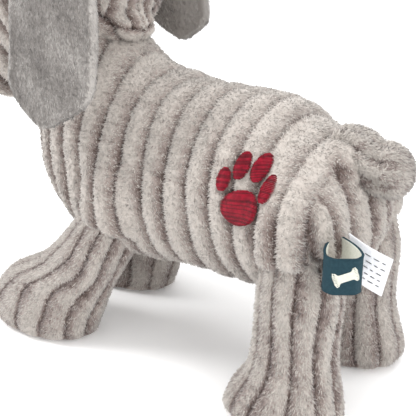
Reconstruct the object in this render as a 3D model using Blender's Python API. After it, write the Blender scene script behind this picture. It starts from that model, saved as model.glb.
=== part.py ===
"""Plush dog: ribbed fabric covers over soft stuffing, standing on four paws.

Frame: +Z up, soles on z = 0, the dog faces -Y and its left side is +X.
The origin is under the middle of the whole dog.  Every length below is in
millimetres until a mesh is made.
"""
import math

import bmesh
import bpy
import numpy as np
from mathutils import Matrix, Vector

MM = 0.001

# ---- driving dimensions ------------------------------------------------------
TO_MIDDLE = 2.5            # from the middle of the body to the middle of the whole dog, along Y
CLOTH = 1.3                # thickness of the ribbed cover with its pile pressed flat
GAP = 0.35                 # clearance between neighbouring pieces
HIP = Vector((23.0, 72.0, 42.0))          # left hip, where a hind leg swings
SHOULDER = Vector((22.0, -16.0, 46.0))    # left shoulder
NECK = Vector((0.0, -39.0, 113.0))        # the head turns and nods about this point
TAIL_ROOT = Vector((0.0, 77.0, 89.0))
EAR_ROOT = Vector((33.8, -18.0, 160.0))   # seam along the top of the left ear
EAR_LENGTH = 70.0
EAR_HANG = 8.0             # how far the ear stands out beside the head before it hangs
THIGH_RADIUS = 19.0
SHOULDER_ROOM = 2.6        # extra room in the front sockets, because the front legs lean forward
SPINE = 5.8                # half width of the torso left standing between the legs
NECK_RADIUS = 24.0
NECK_LEAN = 57.0           # slope of the neck above level
NECK_OPENING = 11.0        # the ball shows between torso and head, so the head can nod
TAIL_BALL = 12.0
NOSE_RADIUS = 8.5
NOSE_RISE = 0.55           # nose height above the muzzle's middle, in its half heights
EYE_RADIUS = 3.8
EYE_SECTION = 3            # the head section that carries the eyes
EYE_ANGLE = 44.0           # how far up round that section they sit
TAG_SEAM = Vector((22.6, 82.2, 69.0))     # rump seam that holds the label and the care tag
TAPE_WIDTH = 11.5
TAPE_THICK = 0.6
LABEL_REACH = 17.0         # how far the label loop stands out of the seam
LABEL_FACE = 11.0          # width of the loop's front face
LABEL_AZIMUTH = 35.0       # directions in the ground plane, from +X towards +Y
TAG_LENGTH = 15.5
TAG_HEIGHT = 14.0
TAG_AZIMUTH = 97.0
TAG_DROOP = 22.0

# Torso sections, rump to neck: y, z, half width, half height, lean of the
# section, and how square its lower half is (2 is round; the haunches are fuller).
TORSO = (
    (69.0, 67.0, 31.0, 30.0, -10.0, 3.0),
    (54.0, 70.0, 35.0, 34.5, -4.0, 3.0),
    (34.0, 71.0, 35.0, 36.0, 0.0, 2.2),
    (10.0, 72.0, 34.5, 37.0, 8.0, 2.2),
    (-11.0, 75.0, 34.0, 39.0, 22.0, 2.7),
    (-26.5, 85.0, 31.0, 37.0, 42.0, 2.4),
    (-37.0, 102.0, 26.0, 30.0, 54.0, 2.0),
    (-44.0, 117.0, 22.0, 25.0, 60.0, 2.0),
)
TORSO_RUMP_CAP = 13.0

# Head sections, nape to muzzle.
HEAD = (
    (-25.0, 144.0, 31.5, 29.0, 4.0, 2.0),
    (-40.0, 145.0, 36.0, 34.0, -8.0, 2.0),
    (-56.0, 140.0, 36.5, 33.0, -22.0, 2.0),
    (-70.0, 129.0, 32.0, 27.0, -34.0, 2.0),
    (-80.0, 116.0, 28.5, 23.5, -42.0, 2.0),
    (-87.0, 103.5, 25.5, 20.0, -48.0, 2.0),
)
HEAD_NAPE_CAP = 15.0
MUZZLE_CAP = 12.0

# Tail sections, root to tip.
TAIL = (
    (79.0, 89.5, 11.5, 11.5, 174.0, 2.0),
    (86.0, 87.5, 12.0, 12.0, 166.0, 2.0),
    (91.5, 85.0, 11.0, 11.0, 158.0, 2.0),
)
TAIL_TIP_CAP = 8.0

# Leg sections from the top down to the sole:
# height, outward shift, y, half length, half width.
HIND_LEG = (
    (48.0, 0.0, 72.0, 16.5, 15.5),
    (30.0, 1.0, 71.5, 15.5, 15.0),
    (19.5, 2.0, 72.0, 17.5, 15.8),
    (11.5, 3.0, 70.5, 21.5, 17.0),
    (5.0, 4.0, 69.5, 23.5, 17.5),
    (1.5, 4.0, 69.5, 21.5, 16.0),
    (0.0, 4.0, 69.5, 16.0, 11.5),
)
FRONT_LEG = (
    (52.0, 0.0, -14.0, 16.5, 15.5),
    (42.0, 0.5, -19.5, 17.5, 15.5),
    (32.0, 1.0, -28.0, 20.5, 16.0),
    (23.5, 2.0, -38.5, 26.0, 17.0),
    (14.5, 3.0, -44.5, 28.5, 17.8),
    (6.5, 4.0, -47.0, 28.0, 17.8),
    (1.5, 4.0, -47.5, 26.0, 16.0),
    (0.0, 4.0, -47.5, 19.5, 11.5),
)

# Paw-print motif on the left flank: y, z, half width and half height of each patch.
MOTIF = (
    ("pad", 54.5, 78.0, 6.9, 5.4),
    ("toe_outer_front", 46.9, 85.4, 2.4, 3.4),
    ("toe_front", 52.0, 90.0, 2.5, 3.8),
    ("toe_rear", 57.8, 89.8, 2.5, 3.8),
    ("toe_outer_rear", 62.6, 85.0, 2.4, 3.4),
)

COLOURS = {
    "taupe": ((0.42, 0.38, 0.35), 0.95),
    "minky": ((0.36, 0.36, 0.36), 0.9),
    "stuffing": ((0.85, 0.85, 0.83), 1.0),
    "crimson": ((0.35, 0.01, 0.02), 0.6),
    "black": ((0.02, 0.02, 0.02), 0.35),
    "teal": ((0.02, 0.06, 0.08), 0.7),
    "satin": ((0.9, 0.9, 0.9), 0.4),
}


# ---- general helpers ---------------------------------------------------------
def clear_scene():
    for old in list(bpy.data.objects):
        bpy.data.objects.remove(old, do_unlink=True)


def material(name):
    found = bpy.data.materials.get(name)
    if found:
        return found
    colour, roughness = COLOURS[name]
    made = bpy.data.materials.new(name)
    made.use_nodes = True
    shader = made.node_tree.nodes["Principled BSDF"]
    shader.inputs["Base Color"].default_value = (*colour, 1.0)
    shader.inputs["Roughness"].default_value = roughness
    shader.inputs["Metallic"].default_value = 0.0
    return made


def new_object(name, verts, faces, colour):
    """Make one closed mesh object from millimetre points, facing outwards."""
    mesh = bpy.data.meshes.new(name)
    mesh.from_pydata([tuple(MM * c for c in v) for v in verts], [], faces)
    work = bmesh.new()
    work.from_mesh(mesh)
    bmesh.ops.recalc_face_normals(work, faces=work.faces)
    work.to_mesh(mesh)
    work.free()
    mesh.materials.append(material(colour))
    mesh.shade_smooth()
    made = bpy.data.objects.new(name, mesh)
    bpy.context.scene.collection.objects.link(made)
    return made


def skin(name, rings, colour):
    """Join closed rings of equal length into a solid with two end faces."""
    count = len(rings[0])
    verts = [point for ring in rings for point in ring]
    faces = [tuple(range(count))[::-1]]
    for row in range(len(rings) - 1):
        for k in range(count):
            a = row * count + k
            b = row * count + (k + 1) % count
            faces.append((a, b, b + count, a + count))
    last = (len(rings) - 1) * count
    faces.append(tuple(range(last, last + count)))
    return new_object(name, verts, faces, colour)


def combine(target, tool, operation):
    """Apply one exact Boolean to target and delete the tool."""
    modifier = target.modifiers.new(operation, "BOOLEAN")
    modifier.operation = operation
    modifier.solver = "EXACT"
    modifier.object = tool
    graph = bpy.context.evaluated_depsgraph_get()
    result = bpy.data.meshes.new_from_object(target.evaluated_get(graph), depsgraph=graph)
    target.modifiers.clear()
    colour = target.data.materials[0]
    target.data = result
    target.data.materials.clear()
    target.data.materials.append(colour)
    for face in target.data.polygons:
        face.material_index = 0
    bpy.data.objects.remove(tool, do_unlink=True)
    return target


def cut(target, tool):
    return combine(target, tool, "DIFFERENCE")


def box(low, high):
    """A plain cutting block between two corners."""
    verts = [(x, y, z) for z in (low[2], high[2]) for y in (low[1], high[1]) for x in (low[0], high[0])]
    faces = [(0, 2, 3, 1), (4, 5, 7, 6), (0, 1, 5, 4), (1, 3, 7, 5), (3, 2, 6, 7), (2, 0, 4, 6)]
    return new_object("block", verts, faces, "stuffing")


def ball(name, centre, radius, colour="stuffing", around=18, rows=9, squash=(1.0, 1.0, 1.0)):
    rings = []
    for row in range(rows + 1):
        polar = math.pi * (row + 0.35) / (rows + 0.7)
        ring = []
        for k in range(around):
            turn = 2.0 * math.pi * (k + 0.5) / around
            ring.append((centre[0] + radius * squash[0] * math.sin(polar) * math.cos(turn),
                         centre[1] + radius * squash[1] * math.sin(polar) * math.sin(turn),
                         centre[2] + radius * squash[2] * math.cos(polar)))
        rings.append(ring)
    return skin(name, rings, colour)


def drum(centre, radius, x_inner, x_outer, bevel, side):
    """A round thigh block turned about the hip's own X axis."""
    rings = []
    profile = ((x_inner, radius - bevel), (x_inner + bevel, radius),
               (x_outer - bevel, radius), (x_outer, radius - bevel))
    for x, r in profile:
        ring = []
        for k in range(20):
            turn = 2.0 * math.pi * (k + 0.5) / 20
            ring.append((side * x, centre[1] + r * math.cos(turn), centre[2] + r * math.sin(turn)))
        rings.append(ring)
    return skin("drum", rings, "stuffing")


# ---- lofted bodies -----------------------------------------------------------
def smooth_rows(stations, rows):
    """Read a smooth curve through hand-set stations (Catmull-Rom)."""
    table = np.array(stations, float)
    ends = np.vstack([2 * table[0] - table[1], table, 2 * table[-1] - table[-2]])
    out = []
    for place in np.linspace(0.0, len(table) - 1.0, rows):
        k = min(int(place), len(table) - 2)
        t = place - k
        a, b, c, d = ends[k:k + 4]
        out.append(0.5 * (2 * b + (c - a) * t + (2 * a - 5 * b + 4 * c - d) * t * t
                          + (3 * b - a - 3 * c + d) * t ** 3))
    return out


def section_ring(row, around, shrink=0.0, forward=0.0, factor=1.0):
    """One leaning section; its lower half may be squarer than its upper half."""
    y, z, half_x, half_n, lean, square = row
    lean = math.radians(lean)
    along = Vector((0.0, -math.cos(lean), math.sin(lean)))
    up = Vector((0.0, math.sin(lean), math.cos(lean)))
    centre = Vector((0.0, y, z)) + along * forward
    half_x = max((half_x - shrink) * factor, 0.3)
    half_n = max((half_n - shrink) * factor, 0.3)
    ring = []
    for k in range(around):
        turn = 2.0 * math.pi * (k + 0.5) / around
        c, s = math.cos(turn), math.sin(turn)
        power = 2.0 / square if s < 0 else 1.0
        x = math.copysign(abs(c) ** power, c) * half_x
        n = math.copysign(abs(s) ** power, s) * half_n
        ring.append(centre + Vector((x, 0, 0)) + up * n)
    return ring


def body_loft(name, stations, rows, around, colour, shrink=0.0, cap_start=None, cap_end=None):
    """Loft leaning sections, with rounded ends where a cap depth is given."""
    table = smooth_rows(stations, rows)
    rings = []
    steps = (0.97, 0.82, 0.55, 0.28)
    if cap_start:
        for reach in steps:
            rings.append(section_ring(table[0], around, shrink,
                                      -(cap_start - shrink) * reach, math.sqrt(1.0 - reach * reach)))
    # An inner surface runs on past a plain end, so that no two end faces coincide.
    extra = 3.0 if shrink > 0.0 else 0.0
    if not cap_start and extra:
        rings.append(section_ring(table[0], around, shrink, -extra))
    for row in table:
        rings.append(section_ring(row, around, shrink))
    if not cap_end and extra:
        rings.append(section_ring(table[-1], around, shrink, extra))
    if cap_end:
        for reach in reversed(steps):
            rings.append(section_ring(table[-1], around, shrink,
                                      (cap_end - shrink) * reach, math.sqrt(1.0 - reach * reach)))
    return skin(name, rings, colour)


def leg_loft(name, stations, inner_x, side, rows, around, colour, shrink=0.0):
    """Loft level sections down a leg to its flat sole."""
    rings = []
    table = smooth_rows(stations, rows)
    for place, (height, outward, y, half_y, half_x) in enumerate(table):
        if shrink and place == 0:
            height += 2.0
        ring = []
        for k in range(around):
            turn = 2.0 * math.pi * (k + 0.5) / around
            x = inner_x + outward + max(half_x - shrink, 1.0) * math.cos(turn)
            ring.append((side * x, y + max(half_y - shrink, 1.0) * math.sin(turn), max(height, shrink)))
        if place and abs(ring[0][2] - rings[-1][0][2]) < 0.2:
            continue
        rings.append(ring)
    return skin(name, rings, colour)


# ---- torso -------------------------------------------------------------------
def clear_joints(target, side):
    """Open sockets for both legs on one side, the tail and the neck."""
    for centre, room in ((HIP, 0.0), (SHOULDER, SHOULDER_ROOM)):
        cut(target, drum(centre, THIGH_RADIUS + 2 * GAP + room, SPINE, 60.0, 0.5, side))
    return target


def open_neck(target, direction):
    """Socket for the neck ball, and a flat end that stays clear while the head moves."""
    lean = math.radians(NECK_LEAN)
    along = Vector((0.0, -math.cos(lean), math.sin(lean))) * direction
    block = box((-90, -95, 0), (90, 85, 88))
    block.data.transform(Matrix.Translation((NECK - along * NECK_OPENING / 2) * MM)
                         @ along.to_track_quat("Z", "Y").to_matrix().to_4x4())
    cut(target, block)
    return cut(target, ball("socket", NECK, NECK_RADIUS + 2 * GAP))


def clear_middle(target):
    cut(target, ball("socket", TAIL_ROOT, TAIL_BALL + 2 * GAP))
    return open_neck(target, 1)


def keep_side(target, side):
    """Keep one half of a cover, up to the seam in the middle plane."""
    low, high = sorted((side * -80.0, side * GAP / 2))
    return cut(target, box((low, -160, -10), (high, 160, 260)))


def torso_solid(name, shrink, colour):
    return body_loft(name, TORSO, 12, 24, colour, shrink, cap_start=TORSO_RUMP_CAP)


def make_torso():
    for side, word in ((1, "left"), (-1, "right")):
        panel = torso_solid("body_cover_" + word, 0.0, "taupe")
        clear_middle(panel)
        keep_side(panel, side)
        cut(panel, torso_solid("core", CLOTH, "stuffing"))
        clear_joints(panel, side)
    core = torso_solid("body_stuffing", CLOTH + GAP, "stuffing")
    clear_joints(core, 1)
    clear_joints(core, -1)
    clear_middle(core)


# ---- legs --------------------------------------------------------------------
def make_leg(word, stations, centre, side):
    """A cover with a flat sole, and the stuffing that fills it."""
    inner_x = centre.x
    cover = leg_loft("leg_cover_" + word, stations, inner_x, side, 9, 18, "taupe")
    combine(cover, drum(centre, THIGH_RADIUS, 8.0, 37.5, 4.0, side), "UNION")
    hollow = leg_loft("hollow", stations, inner_x, side, 9, 18, "stuffing", CLOTH)
    cut(cover, hollow)
    cut(cover, drum(centre, THIGH_RADIUS - CLOTH, 8.0 + CLOTH, 37.5 - CLOTH, 3.5, side))
    cut(cover, box((-60, centre.y - 12, centre.z + 10), (60, centre.y + 12, centre.z + 40)))
    inset = CLOTH + GAP
    core = leg_loft("leg_stuffing_" + word, stations, inner_x, side, 9, 18, "stuffing", inset)
    combine(core, drum(centre, THIGH_RADIUS - inset, 8.0 + inset, 37.5 - inset, 3.5, side), "UNION")


def make_legs():
    for side, word in ((1, "left"), (-1, "right")):
        make_leg("hind_" + word, HIND_LEG, HIP, side)
        make_leg("front_" + word, FRONT_LEG, SHOULDER, side)


# ---- tail --------------------------------------------------------------------
def make_tail():
    cover = body_loft("tail_cover", TAIL, 4, 16, "taupe", 0.0, cap_end=TAIL_TIP_CAP)
    combine(cover, ball("root", TAIL_ROOT, TAIL_BALL), "UNION")
    cut(cover, ball("hollow", TAIL_ROOT, TAIL_BALL - CLOTH))
    cut(cover, body_loft("hollow", TAIL, 4, 16, "stuffing", CLOTH, cap_end=TAIL_TIP_CAP))
    cut(cover, box((-5, TAIL_ROOT.y - 20, TAIL_ROOT.z - 5), (5, TAIL_ROOT.y - 6, TAIL_ROOT.z + 5)))
    core = body_loft("tail_stuffing", TAIL, 4, 16, "stuffing", CLOTH + GAP, cap_end=TAIL_TIP_CAP)
    combine(core, ball("root", TAIL_ROOT, TAIL_BALL - CLOTH - GAP), "UNION")


# ---- neck and head -----------------------------------------------------------
def head_solid(name, shrink, colour):
    return body_loft(name, HEAD, 9, 22, colour, shrink, HEAD_NAPE_CAP, MUZZLE_CAP)


def head_frame(section):
    """Centre, directions and half sizes of one head section."""
    y, z, half_x, half_n, lean, _ = HEAD[section]
    lean = math.radians(lean)
    along = Vector((0.0, -math.cos(lean), math.sin(lean)))
    up = Vector((0.0, math.sin(lean), math.cos(lean)))
    return Vector((0.0, y, z)), along, up, half_x, half_n


def make_head():
    ball("neck_stuffing", NECK, NECK_RADIUS)
    for side, word in ((1, "left"), (-1, "right")):
        panel = head_solid("head_cover_" + word, 0.0, "taupe")
        open_neck(panel, -1)
        keep_side(panel, side)
        cut(panel, head_solid("core", CLOTH, "stuffing"))
    open_neck(head_solid("head_stuffing", CLOTH + GAP, "stuffing"), -1)

    centre, along, up, _, half_n = head_frame(-1)
    nose_at = centre + along * (MUZZLE_CAP - 3.0) + up * (half_n * NOSE_RISE)
    nose = ball("nose_patch", nose_at, NOSE_RADIUS, "black", 16, 7, (1.0, 0.6, 0.8))
    cut(nose, head_solid("bed", -GAP, "black"))
    centre, along, up, half_x, half_n = head_frame(EYE_SECTION)
    turn = math.radians(EYE_ANGLE)
    for side, word in ((1, "left"), (-1, "right")):
        spot = centre + up * (half_n * math.sin(turn)) + Vector((side * half_x * math.cos(turn), 0, 0))
        eye = ball("eye_" + word, spot, EYE_RADIUS, "black", 12, 6)
        cut(eye, head_solid("bed", -GAP, "black"))


# ---- ears --------------------------------------------------------------------
def ear_rows():
    """Distance down the ear and half width there: broad and round at the lower end."""
    straight = np.linspace(0.0, 0.62, 8)
    round_end = 0.62 + 0.38 * np.sin(np.linspace(0.15, 1.0, 7) * math.pi / 2)
    rows = []
    for t in np.concatenate([straight, round_end]):
        width = 13.0 + 5.5 * math.sin(min(t / 0.5, 1.0) * math.pi / 2)
        if t > 0.62:
            width = 18.5 * math.sqrt(max(1.0 - ((t - 0.62) / 0.385) ** 2, 0.02))
        rows.append((EAR_LENGTH * t, width))
    return rows


def ear_place(down):
    """Middle line of the left ear, seen from the front: over the shoulder, then down."""
    t = down / EAR_LENGTH
    bend = 1.0 - math.exp(-down / EAR_HANG)
    x = EAR_ROOT.x + EAR_HANG * bend + 3.0 * t * t
    z = EAR_ROOT.z - down + 0.42 * EAR_HANG * bend
    return x, z


def ear_panel(name, side, near, far, colour):
    """One layer of the ear, between two distances from its middle line."""
    rings = []
    for down, width in ear_rows():
        x, z = ear_place(down)
        x2, z2 = ear_place(down + 0.5)
        out = Vector((z - z2, 0.0, x2 - x)).normalized()
        y = EAR_ROOT.y + 4.0 * down / EAR_LENGTH - 8.0 * (down / EAR_LENGTH) ** 2
        ring = []
        for depth, order in ((far, (-1.0, -0.6, 0.0, 0.6, 1.0)), (near, (1.0, 0.6, 0.0, -0.6, -1.0))):
            for frac in order:
                lift = depth + 1.2 * (1.0 - frac * frac)
                ring.append((side * (x + out.x * lift), y + frac * width, z + out.z * lift))
        rings.append(ring)
    return skin(name, rings, colour)


def make_ears():
    """Two layers each: the smooth outer panel and the lining towards the head."""
    for side, word in ((1, "left"), (-1, "right")):
        ear_panel("ear_lining_" + word, side, -1.6, -GAP / 2, "minky")
        ear_panel("ear_outer_" + word, side, GAP / 2, 1.6, "minky")


# ---- flank motif -------------------------------------------------------------
def flank_x(y, z):
    """Half width of the torso at a point on its round flank."""
    rows = sorted(TORSO, key=lambda row: row[0])
    ys = [row[0] for row in rows]
    mid = np.interp(y, ys, [row[1] for row in rows])
    half_x = np.interp(y, ys, [row[2] for row in rows])
    half_n = np.interp(y, ys, [row[3] for row in rows])
    return half_x * math.sqrt(max(1.0 - ((z - mid) / half_n) ** 2, 0.0))


def make_motif():
    """Thin raised patches of thread, lying on the cover."""
    for word, y0, z0, half_y, half_z in MOTIF:
        rings = []
        for lift, grow in ((0.75, 0.6), (0.75, 1.0), (1.7, 1.0), (1.7, 0.6)):
            ring = []
            for k in range(16):
                turn = 2.0 * math.pi * k / 16
                y = y0 + half_y * grow * math.cos(turn)
                z = z0 + half_z * grow * math.sin(turn)
                ring.append((flank_x(y, z) + lift, y, z))
            rings.append(ring)
        skin("motif_" + word, rings, "crimson")


# ---- label and care tag ------------------------------------------------------
def ribbon(name, path, low, high, colour):
    """A thin upright tape that follows a path seen from above."""
    path = [Vector((x, y)) for x, y in path]
    left, right = [], []
    for k, point in enumerate(path):
        ahead = path[min(k + 1, len(path) - 1)] - path[max(k - 1, 0)]
        normal = Vector((-ahead.y, ahead.x)).normalized() * TAPE_THICK / 2
        left.append(point + normal)
        right.append(point - normal)
    rings = []
    for a, b in zip(left, right):
        rings.append([(a.x, a.y, low(a)), (b.x, b.y, low(b)), (b.x, b.y, high(b)), (a.x, a.y, high(a))])
    return skin(name, rings, colour)


def make_label():
    """A woven tape folded into a loop; both ends are caught in the rump seam."""
    turn = math.radians(LABEL_AZIMUTH)
    out = Vector((math.cos(turn), math.sin(turn)))
    across = Vector((-out.y, out.x))
    seam = TAG_SEAM.xy
    path = []
    half = LABEL_FACE / 2
    corner = 3.0
    for k in range(6):
        t = k / 5
        path.append((0.8 + (LABEL_REACH - corner - 0.8) * t,
                     -(0.9 + (half - 0.9) * math.sin(t * math.pi / 2))))
    for k in range(1, 4):
        a = math.pi / 2 * k / 3
        path.append((LABEL_REACH - corner + corner * math.sin(a), -half + corner * (1 - math.cos(a))))
    path += [(u, -v) for u, v in reversed(path)]
    points = [seam + out * u + across * v for u, v in path]
    middle = TAG_SEAM.z - TAPE_WIDTH / 2 + 2.5
    ribbon("label_loop", points, lambda p: middle - TAPE_WIDTH / 2,
           lambda p: middle + TAPE_WIDTH / 2, "teal")


def make_care_tag():
    """A printed satin tag, sewn beside the label, that droops a little."""
    turn = math.radians(TAG_AZIMUTH)
    out = Vector((math.cos(turn), math.sin(turn)))
    start = TAG_SEAM.xy + Vector((-3.4, 1.6))
    points = [start + out * (TAG_LENGTH * k / 6) for k in range(7)]

    def top(p):
        return TAG_SEAM.z + 3.0 - math.tan(math.radians(TAG_DROOP)) * (p - start).length

    ribbon("care_tag", points, lambda p: top(p) - TAG_HEIGHT, top, "satin")


def centre_the_dog():
    """The sections are measured from the middle of the body; move it over the origin."""
    for piece in bpy.data.objects:
        piece.location.y = TO_MIDDLE * MM


clear_scene()
make_torso()
make_legs()
make_tail()
make_head()
make_ears()
make_motif()
make_label()
make_care_tag()
centre_the_dog()
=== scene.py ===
"""Looks for the ribbed plush dog: covers, pile, embroidery, tags, floor, light and camera.

Shapes are worked out in millimetres in the CAD frame (the dog faces -Y, its left
side is +X) and written to meshes in metres.
"""

from collections import namedtuple
import math

import bpy
import numpy as np
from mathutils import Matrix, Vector
from mathutils.bvhtree import BVHTree


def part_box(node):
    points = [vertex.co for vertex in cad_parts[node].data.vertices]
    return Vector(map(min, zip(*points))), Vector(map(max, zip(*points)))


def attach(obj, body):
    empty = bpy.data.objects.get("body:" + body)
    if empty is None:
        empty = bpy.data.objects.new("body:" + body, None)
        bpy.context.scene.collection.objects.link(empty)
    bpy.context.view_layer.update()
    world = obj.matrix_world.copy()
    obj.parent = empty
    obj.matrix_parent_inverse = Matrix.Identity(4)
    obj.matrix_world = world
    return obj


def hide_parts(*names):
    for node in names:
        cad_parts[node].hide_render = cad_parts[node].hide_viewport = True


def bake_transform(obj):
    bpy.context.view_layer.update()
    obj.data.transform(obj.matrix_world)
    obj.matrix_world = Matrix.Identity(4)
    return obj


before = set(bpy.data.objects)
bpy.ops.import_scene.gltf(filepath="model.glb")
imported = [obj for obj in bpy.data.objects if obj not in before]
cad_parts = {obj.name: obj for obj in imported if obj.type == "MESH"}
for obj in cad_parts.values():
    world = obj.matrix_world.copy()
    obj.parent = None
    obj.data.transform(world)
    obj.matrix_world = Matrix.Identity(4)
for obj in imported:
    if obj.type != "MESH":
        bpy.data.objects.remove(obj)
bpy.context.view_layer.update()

MM = 0.001
VOXEL = 0.8
EAR_VOXEL = 0.7
SHARE = 1.0      # share of the tufts of pile that are made

# ---- sizes -----------------------------------------------------------------------
PITCH = 9.6                 # width of a rib
UPRIGHT_PITCH = 8.2         # width of an upright rib on the head's panels
BODY_UPRIGHT_PITCH = 10.25  # the same on the chest and the rump
GROOVE_AT = 14.2            # Y of one groove on the flank
RIB = 2.3                   # height of a rib over its groove
LEG_RIB = 0.85 * RIB        # lower ribs on the legs and the tail
PILE = 0.8                  # room left for the pile outside the cloth
HIND_RIBS = 11
FRONT_RIBS = 12
TAIL_RIBS = 7
NECK = np.array([0.0, -36.5, 113.0])
NECK_ALONG = np.array([0.0, -0.5446, 0.8387])

# Sections: y, z, half width, half height, lean in degrees, squareness of the lower half.
TORSO = (
    (71.5, 69.0, 33.0, 29.5, -10.0, 2.2),
    (56.5, 72.0, 36.0, 33.0, -4.0, 2.2),
    (36.5, 72.5, 35.0, 34.5, 0.0, 2.1),
    (12.5, 72.0, 34.5, 36.5, 8.0, 2.2),
    (-8.5, 75.0, 34.0, 37.8, 22.0, 2.7),
    (-24.0, 85.0, 31.0, 35.5, 42.0, 2.4),
    (-34.5, 102.0, 26.0, 29.0, 54.0, 2.0),
    (-41.5, 117.0, 23.0, 25.0, 60.0, 2.0),
    (-47.0, 128.0, 20.0, 22.0, 62.0, 2.0),
)
HEAD = (
    (-22.5, 144.0, 31.5, 29.0, 4.0, 2.0),
    (-37.5, 145.0, 36.0, 34.0, -8.0, 2.0),
    (-53.5, 140.0, 36.5, 33.0, -22.0, 2.0),
    (-67.5, 129.0, 32.0, 27.0, -34.0, 2.0),
    (-77.5, 116.0, 28.5, 23.5, -42.0, 2.0),
    (-84.5, 103.5, 25.5, 20.0, -48.0, 2.0),
)
TAIL = (
    (72.0, 90.5, 9.5, 9.5, 178.0, 2.0),
    (80.0, 89.8, 10.4, 10.4, 173.0, 2.0),
    (86.0, 88.4, 10.8, 10.8, 167.0, 2.0),
    (90.5, 87.0, 10.0, 10.0, 160.0, 2.0),
)
# Legs: height, distance from the middle plane, y, half length, half width.
HIND_LEG = (
    (66.0, 22.5, 72.0, 12.5, 12.0),
    (58.0, 22.8, 73.0, 14.0, 13.6),
    (48.0, 23.0, 73.5, 15.2, 15.0),
    (30.0, 24.0, 73.0, 15.2, 15.0),
    (19.5, 25.0, 73.0, 17.0, 15.8),
    (11.5, 26.0, 71.5, 20.8, 17.0),
    (5.0, 27.0, 70.5, 22.3, 17.5),
    (1.5, 27.0, 70.5, 20.5, 16.0),
    (0.0, 27.0, 70.5, 16.0, 12.5),
)
FRONT_LEG = (
    (62.0, 21.5, -5.0, 12.5, 11.5),
    (52.0, 22.0, -11.0, 15.0, 13.6),
    (42.0, 22.5, -17.0, 17.5, 15.5),
    (32.0, 23.0, -25.5, 20.5, 16.0),
    (23.5, 24.0, -36.0, 26.0, 17.0),
    (14.5, 25.0, -42.0, 28.5, 17.8),
    (6.5, 26.0, -44.5, 28.0, 17.8),
    (1.5, 26.0, -45.0, 26.0, 16.0),
    (0.0, 26.0, -45.0, 20.5, 12.5),
)

# Ears: share of the length, Y of the middle line, half width before the round end.
EAR_OUTLINE = {
    "left": ((0.0, -18.5, 8.5), (0.1, -15.5, 14.0), (0.2, -13.0, 17.6), (0.4, -12.0, 19.6),
             (0.6, -12.3, 20.0), (0.8, -14.0, 20.2), (1.0, -16.5, 20.0)),
    "right": ((0.0, -18.5, 8.5), (0.1, -18.5, 11.5), (0.3, -21.0, 14.0), (0.6, -27.0, 15.0),
              (0.8, -28.0, 15.0), (1.0, -27.5, 15.0)),
}
EAR_LENGTH = {"left": 69.0, "right": 53.0}
EAR_ROOT_X, EAR_ROOT_Z = 33.8, 160.0    # the seam at the top of an ear
EAR_HANG = 8.0              # how far an ear stands out before it hangs
ROUND_END = 0.74            # share of the length where an ear starts to round off
ROUND_SHARE = 1.0 - ROUND_END + 0.002

# Paw-print embroidery on the left flank: name, y, z, half width, half height.
MOTIF = (
    ("pad", 57.0, 78.0, 6.9, 5.4),
    ("toe_outer_front", 49.4, 85.4, 2.4, 3.4),
    ("toe_front", 54.5, 90.0, 2.5, 3.8),
    ("toe_rear", 60.3, 89.8, 2.5, 3.8),
    ("toe_outer_rear", 65.1, 85.0, 2.4, 3.4),
)

SEAM = np.array([22.6, 84.7, 69.0])     # where the label and the care tag are sewn in
LABEL_TURN = math.radians(35.0)         # directions in the ground plane, from +X towards +Y
LABEL_REACH = 17.0
LABEL_FACE = 5.5            # half width of the loop's front face
LABEL_CORNER = 3.0
LABEL_MIDDLE = 65.75        # height of the tape's middle line
LABEL_HALF = 5.75           # half width of the tape
LABEL_THICK = 0.55
BONE_AT, BONE_TILT = 0.3, 0.35
TAG_TURN = math.radians(97.0)
TAG_DROOP = math.radians(22.0)
TAG_LENGTH, TAG_HEIGHT = 15.5, 14.0
TAG_HALF_THICK = 0.12


# ---- colours and materials -------------------------------------------------------
def linear(colour):
    """An 8-bit display colour as linear light."""
    out = []
    for value in colour:
        c = value / 255.0
        out.append(c / 12.92 if c <= 0.04045 else ((c + 0.055) / 1.055) ** 2.4)
    return (*out, 1.0)


def shader_of(made):
    return made.node_tree.nodes["Principled BSDF"]


def plain(name, colour, roughness=0.9, sheen=0.25):
    made = bpy.data.materials.new(name)
    made.use_nodes = True
    shader = shader_of(made)
    shader.inputs["Base Color"].default_value = linear(colour)
    shader.inputs["Roughness"].default_value = roughness
    shader.inputs["Sheen Weight"].default_value = sheen
    shader.inputs["Sheen Roughness"].default_value = 0.6
    shader.inputs["Specular IOR Level"].default_value = 0.2
    return made


def noise(tree, scale, detail, distortion=0.0):
    """Noise in the object's own space; returns its value."""
    place = tree.nodes.new("ShaderNodeTexCoord")
    texture = tree.nodes.new("ShaderNodeTexNoise")
    texture.inputs["Scale"].default_value = scale
    texture.inputs["Detail"].default_value = detail
    texture.inputs["Distortion"].default_value = distortion
    tree.links.new(place.outputs["Object"], texture.inputs["Vector"])
    return texture.outputs["Fac"]


def math_value(tree, operation, *values):
    """One math node, fed with sockets and plain numbers; returns its value."""
    node = tree.nodes.new("ShaderNodeMath")
    node.operation = operation
    for slot, value in zip(node.inputs, values):
        if isinstance(value, float):
            slot.default_value = value
        else:
            tree.links.new(value, slot)
    return node.outputs["Value"]


def colour_by(made, value, stops):
    """Let a value between 0 and 1 choose the material's colour."""
    tree = made.node_tree
    node = tree.nodes.new("ShaderNodeValToRGB")
    element = node.color_ramp.elements
    while len(element) < len(stops):
        element.new(0.5)
    for slot, (place, colour) in zip(element, stops):
        slot.position = place
        slot.color = linear(colour)
    tree.links.new(value, node.inputs["Fac"])
    tree.links.new(node.outputs["Color"], shader_of(made).inputs["Base Color"])


def bump(made, value, strength, distance):
    tree = made.node_tree
    node = tree.nodes.new("ShaderNodeBump")
    node.inputs["Strength"].default_value = strength
    node.inputs["Distance"].default_value = distance
    tree.links.new(value, node.inputs["Height"])
    tree.links.new(node.outputs["Normal"], shader_of(made).inputs["Normal"])


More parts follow.
